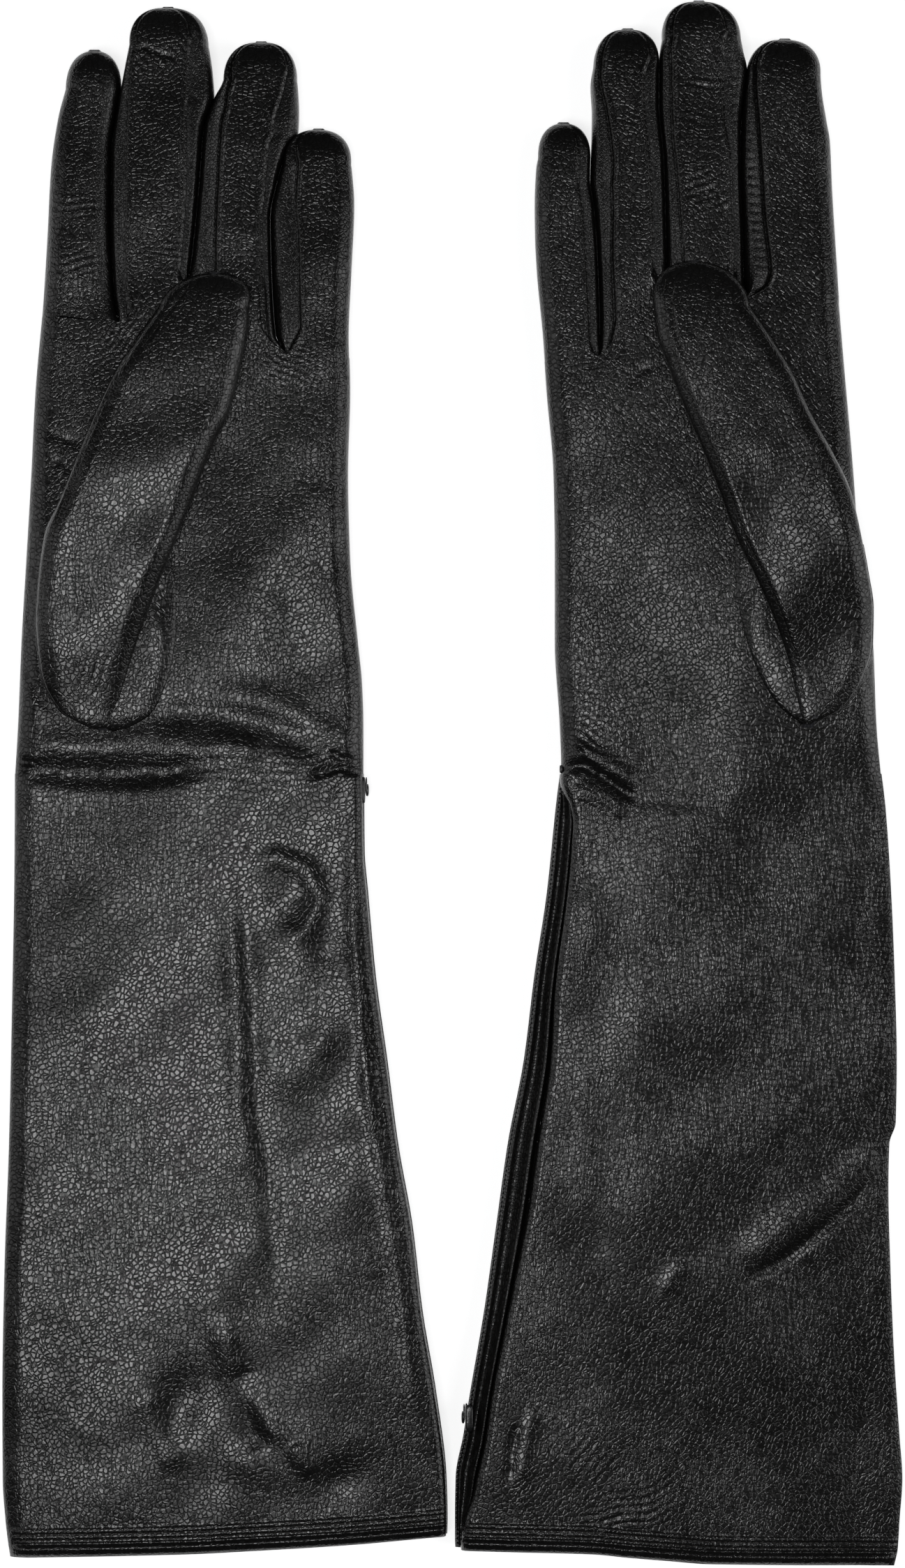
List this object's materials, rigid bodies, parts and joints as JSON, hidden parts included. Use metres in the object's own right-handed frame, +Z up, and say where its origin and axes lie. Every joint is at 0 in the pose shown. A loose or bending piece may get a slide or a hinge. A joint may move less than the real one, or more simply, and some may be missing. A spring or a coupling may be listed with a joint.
{
  "type": "opera gloves",
  "caption": "Pair of elbow-length black leather gloves lying palm up, with set-in thumbs, forked finger sides, lined sleeves and a zip along the little-finger edge.",
  "frame": {"origin": "middle of the pair's footprint, on the surface the gloves lie on", "axes": "+Y from the arm openings to the fingertips, +X across the pair from the left glove to the right, +Z up from the surface to the palms"},
  "size_m": [0.258, 0.4482, 0.0223],
  "materials": {
    "outer_leather": "black semi-gloss nappa",
    "fork_leather": "black semi-gloss nappa, thinner",
    "silk_lining": "knitted silk",
    "hem_facing": "pared black nappa",
    "zip_tape": "woven black tape with coil teeth",
    "zip_metal": "black enamelled metal"
  },
  "bodies": {
    "left_gauntlet": {"left_gauntlet": "outer_leather", "left_gauntlet_lining": "silk_lining", "left_hem_facing": "hem_facing", "left_zip_tape_palm": "zip_tape", "left_zip_tape_back": "zip_tape", "left_zip_stop": "zip_metal"},
    "left_zip_slider": {"left_zip_slider": "zip_metal"},
    "left_hand": {"left_trank": "outer_leather", "left_hand_lining": "silk_lining", "left_fork_index_middle": "fork_leather", "left_fork_middle_ring": "fork_leather", "left_fork_ring_little": "fork_leather", "left_thumb_base": "outer_leather"},
    "left_thumb": {"left_thumb_sheath": "outer_leather", "left_thumb_lining": "silk_lining"},
    "left_index": {"left_index_sheath": "outer_leather", "left_index_lining": "silk_lining", "left_index_strip_inner": "fork_leather"},
    "left_middle": {"left_middle_sheath": "outer_leather", "left_middle_lining": "silk_lining", "left_middle_strip_outer": "fork_leather", "left_middle_strip_inner": "fork_leather"},
    "left_ring": {"left_ring_sheath": "outer_leather", "left_ring_lining": "silk_lining", "left_ring_strip_outer": "fork_leather", "left_ring_strip_inner": "fork_leather"},
    "left_little": {"left_little_sheath": "outer_leather", "left_little_lining": "silk_lining", "left_little_strip_outer": "fork_leather"},
    "right_gauntlet": {"right_gauntlet": "outer_leather", "right_gauntlet_lining": "silk_lining", "right_hem_facing": "hem_facing", "right_zip_tape_palm": "zip_tape", "right_zip_tape_back": "zip_tape", "right_zip_stop": "zip_metal"},
    "right_zip_slider": {"right_zip_slider": "zip_metal"},
    "right_hand": {"right_trank": "outer_leather", "right_hand_lining": "silk_lining", "right_fork_index_middle": "fork_leather", "right_fork_middle_ring": "fork_leather", "right_fork_ring_little": "fork_leather", "right_thumb_base": "outer_leather"},
    "right_thumb": {"right_thumb_sheath": "outer_leather", "right_thumb_lining": "silk_lining"},
    "right_index": {"right_index_sheath": "outer_leather", "right_index_lining": "silk_lining", "right_index_strip_inner": "fork_leather"},
    "right_middle": {"right_middle_sheath": "outer_leather", "right_middle_lining": "silk_lining", "right_middle_strip_outer": "fork_leather", "right_middle_strip_inner": "fork_leather"},
    "right_ring": {"right_ring_sheath": "outer_leather", "right_ring_lining": "silk_lining", "right_ring_strip_outer": "fork_leather", "right_ring_strip_inner": "fork_leather"},
    "right_little": {"right_little_sheath": "outer_leather", "right_little_lining": "silk_lining", "right_little_strip_outer": "fork_leather"}
  },
  "joints": [
    {"name": "left_wrist_fold", "type": "hinge", "parent": "left_gauntlet", "child": "left_hand", "pos_m": [-0.076, 0.00677, 0.012], "axis": [1, 0, 0], "range_deg": [0, 90]},
    {"name": "left_index_curl", "type": "hinge", "parent": "left_hand", "child": "left_index", "pos_m": [-0.10623, 0.15775, 0.012], "axis": [0.9993, -0.0366, 0], "range_deg": [0, 90]},
    {"name": "left_middle_curl", "type": "hinge", "parent": "left_hand", "child": "left_middle", "pos_m": [-0.08404, 0.16374, 0.012], "axis": [0.9989, -0.0471, 0], "range_deg": [0, 90]},
    {"name": "left_ring_curl", "type": "hinge", "parent": "left_hand", "child": "left_ring", "pos_m": [-0.06155, 0.15868, 0.012], "axis": [0.9963, -0.0863, 0], "range_deg": [0, 90]},
    {"name": "left_little_curl", "type": "hinge", "parent": "left_hand", "child": "left_little", "pos_m": [-0.03939, 0.14676, 0.012], "axis": [0.9997, -0.0236, 0], "range_deg": [0, 90]},
    {"name": "left_thumb_lift", "type": "hinge", "parent": "left_hand", "child": "left_thumb", "pos_m": [-0.09721, 0.07177, 0.0223], "axis": [0.9232, -0.3843, 0], "range_deg": [0, 60]},
    {"name": "left_zip_travel", "type": "slide", "parent": "left_gauntlet", "child": "left_zip_slider", "axis": [0.114, -0.9935, 0], "range_m": [0, 0.205]},
    {"name": "right_wrist_fold", "type": "hinge", "parent": "right_gauntlet", "child": "right_hand", "pos_m": [0.076, 0.00677, 0.012], "axis": [1, 0, 0], "range_deg": [0, 90]},
    {"name": "right_index_curl", "type": "hinge", "parent": "right_hand", "child": "right_index", "pos_m": [0.09688, 0.16376, 0.012], "axis": [0.9996, 0.0297, 0], "range_deg": [0, 90]},
    {"name": "right_middle_curl", "type": "hinge", "parent": "right_hand", "child": "right_middle", "pos_m": [0.07211, 0.16376, 0.012], "axis": [0.9996, 0.0288, 0], "range_deg": [0, 90]},
    {"name": "right_ring_curl", "type": "hinge", "parent": "right_hand", "child": "right_ring", "pos_m": [0.05147, 0.15576, 0.012], "axis": [0.9998, 0.0209, 0], "range_deg": [0, 90]},
    {"name": "right_little_curl", "type": "hinge", "parent": "right_hand", "child": "right_little", "pos_m": [0.03325, 0.14276, 0.012], "axis": [0.9994, 0.0358, 0], "range_deg": [0, 90]},
    {"name": "right_thumb_lift", "type": "hinge", "parent": "right_hand", "child": "right_thumb", "pos_m": [0.09719, 0.07177, 0.0223], "axis": [0.9232, 0.3843, 0], "range_deg": [0, 60]},
    {"name": "right_zip_travel", "type": "slide", "parent": "right_gauntlet", "child": "right_zip_slider", "axis": [-0.1292, -0.9916, 0], "range_m": [-0.18, 0.03]},
    {"name": "pair_parting", "type": "slide", "parent": "left_gauntlet", "child": "right_gauntlet", "axis": [1, 0, 0], "range_m": [0, 0.15]}
  ]
}
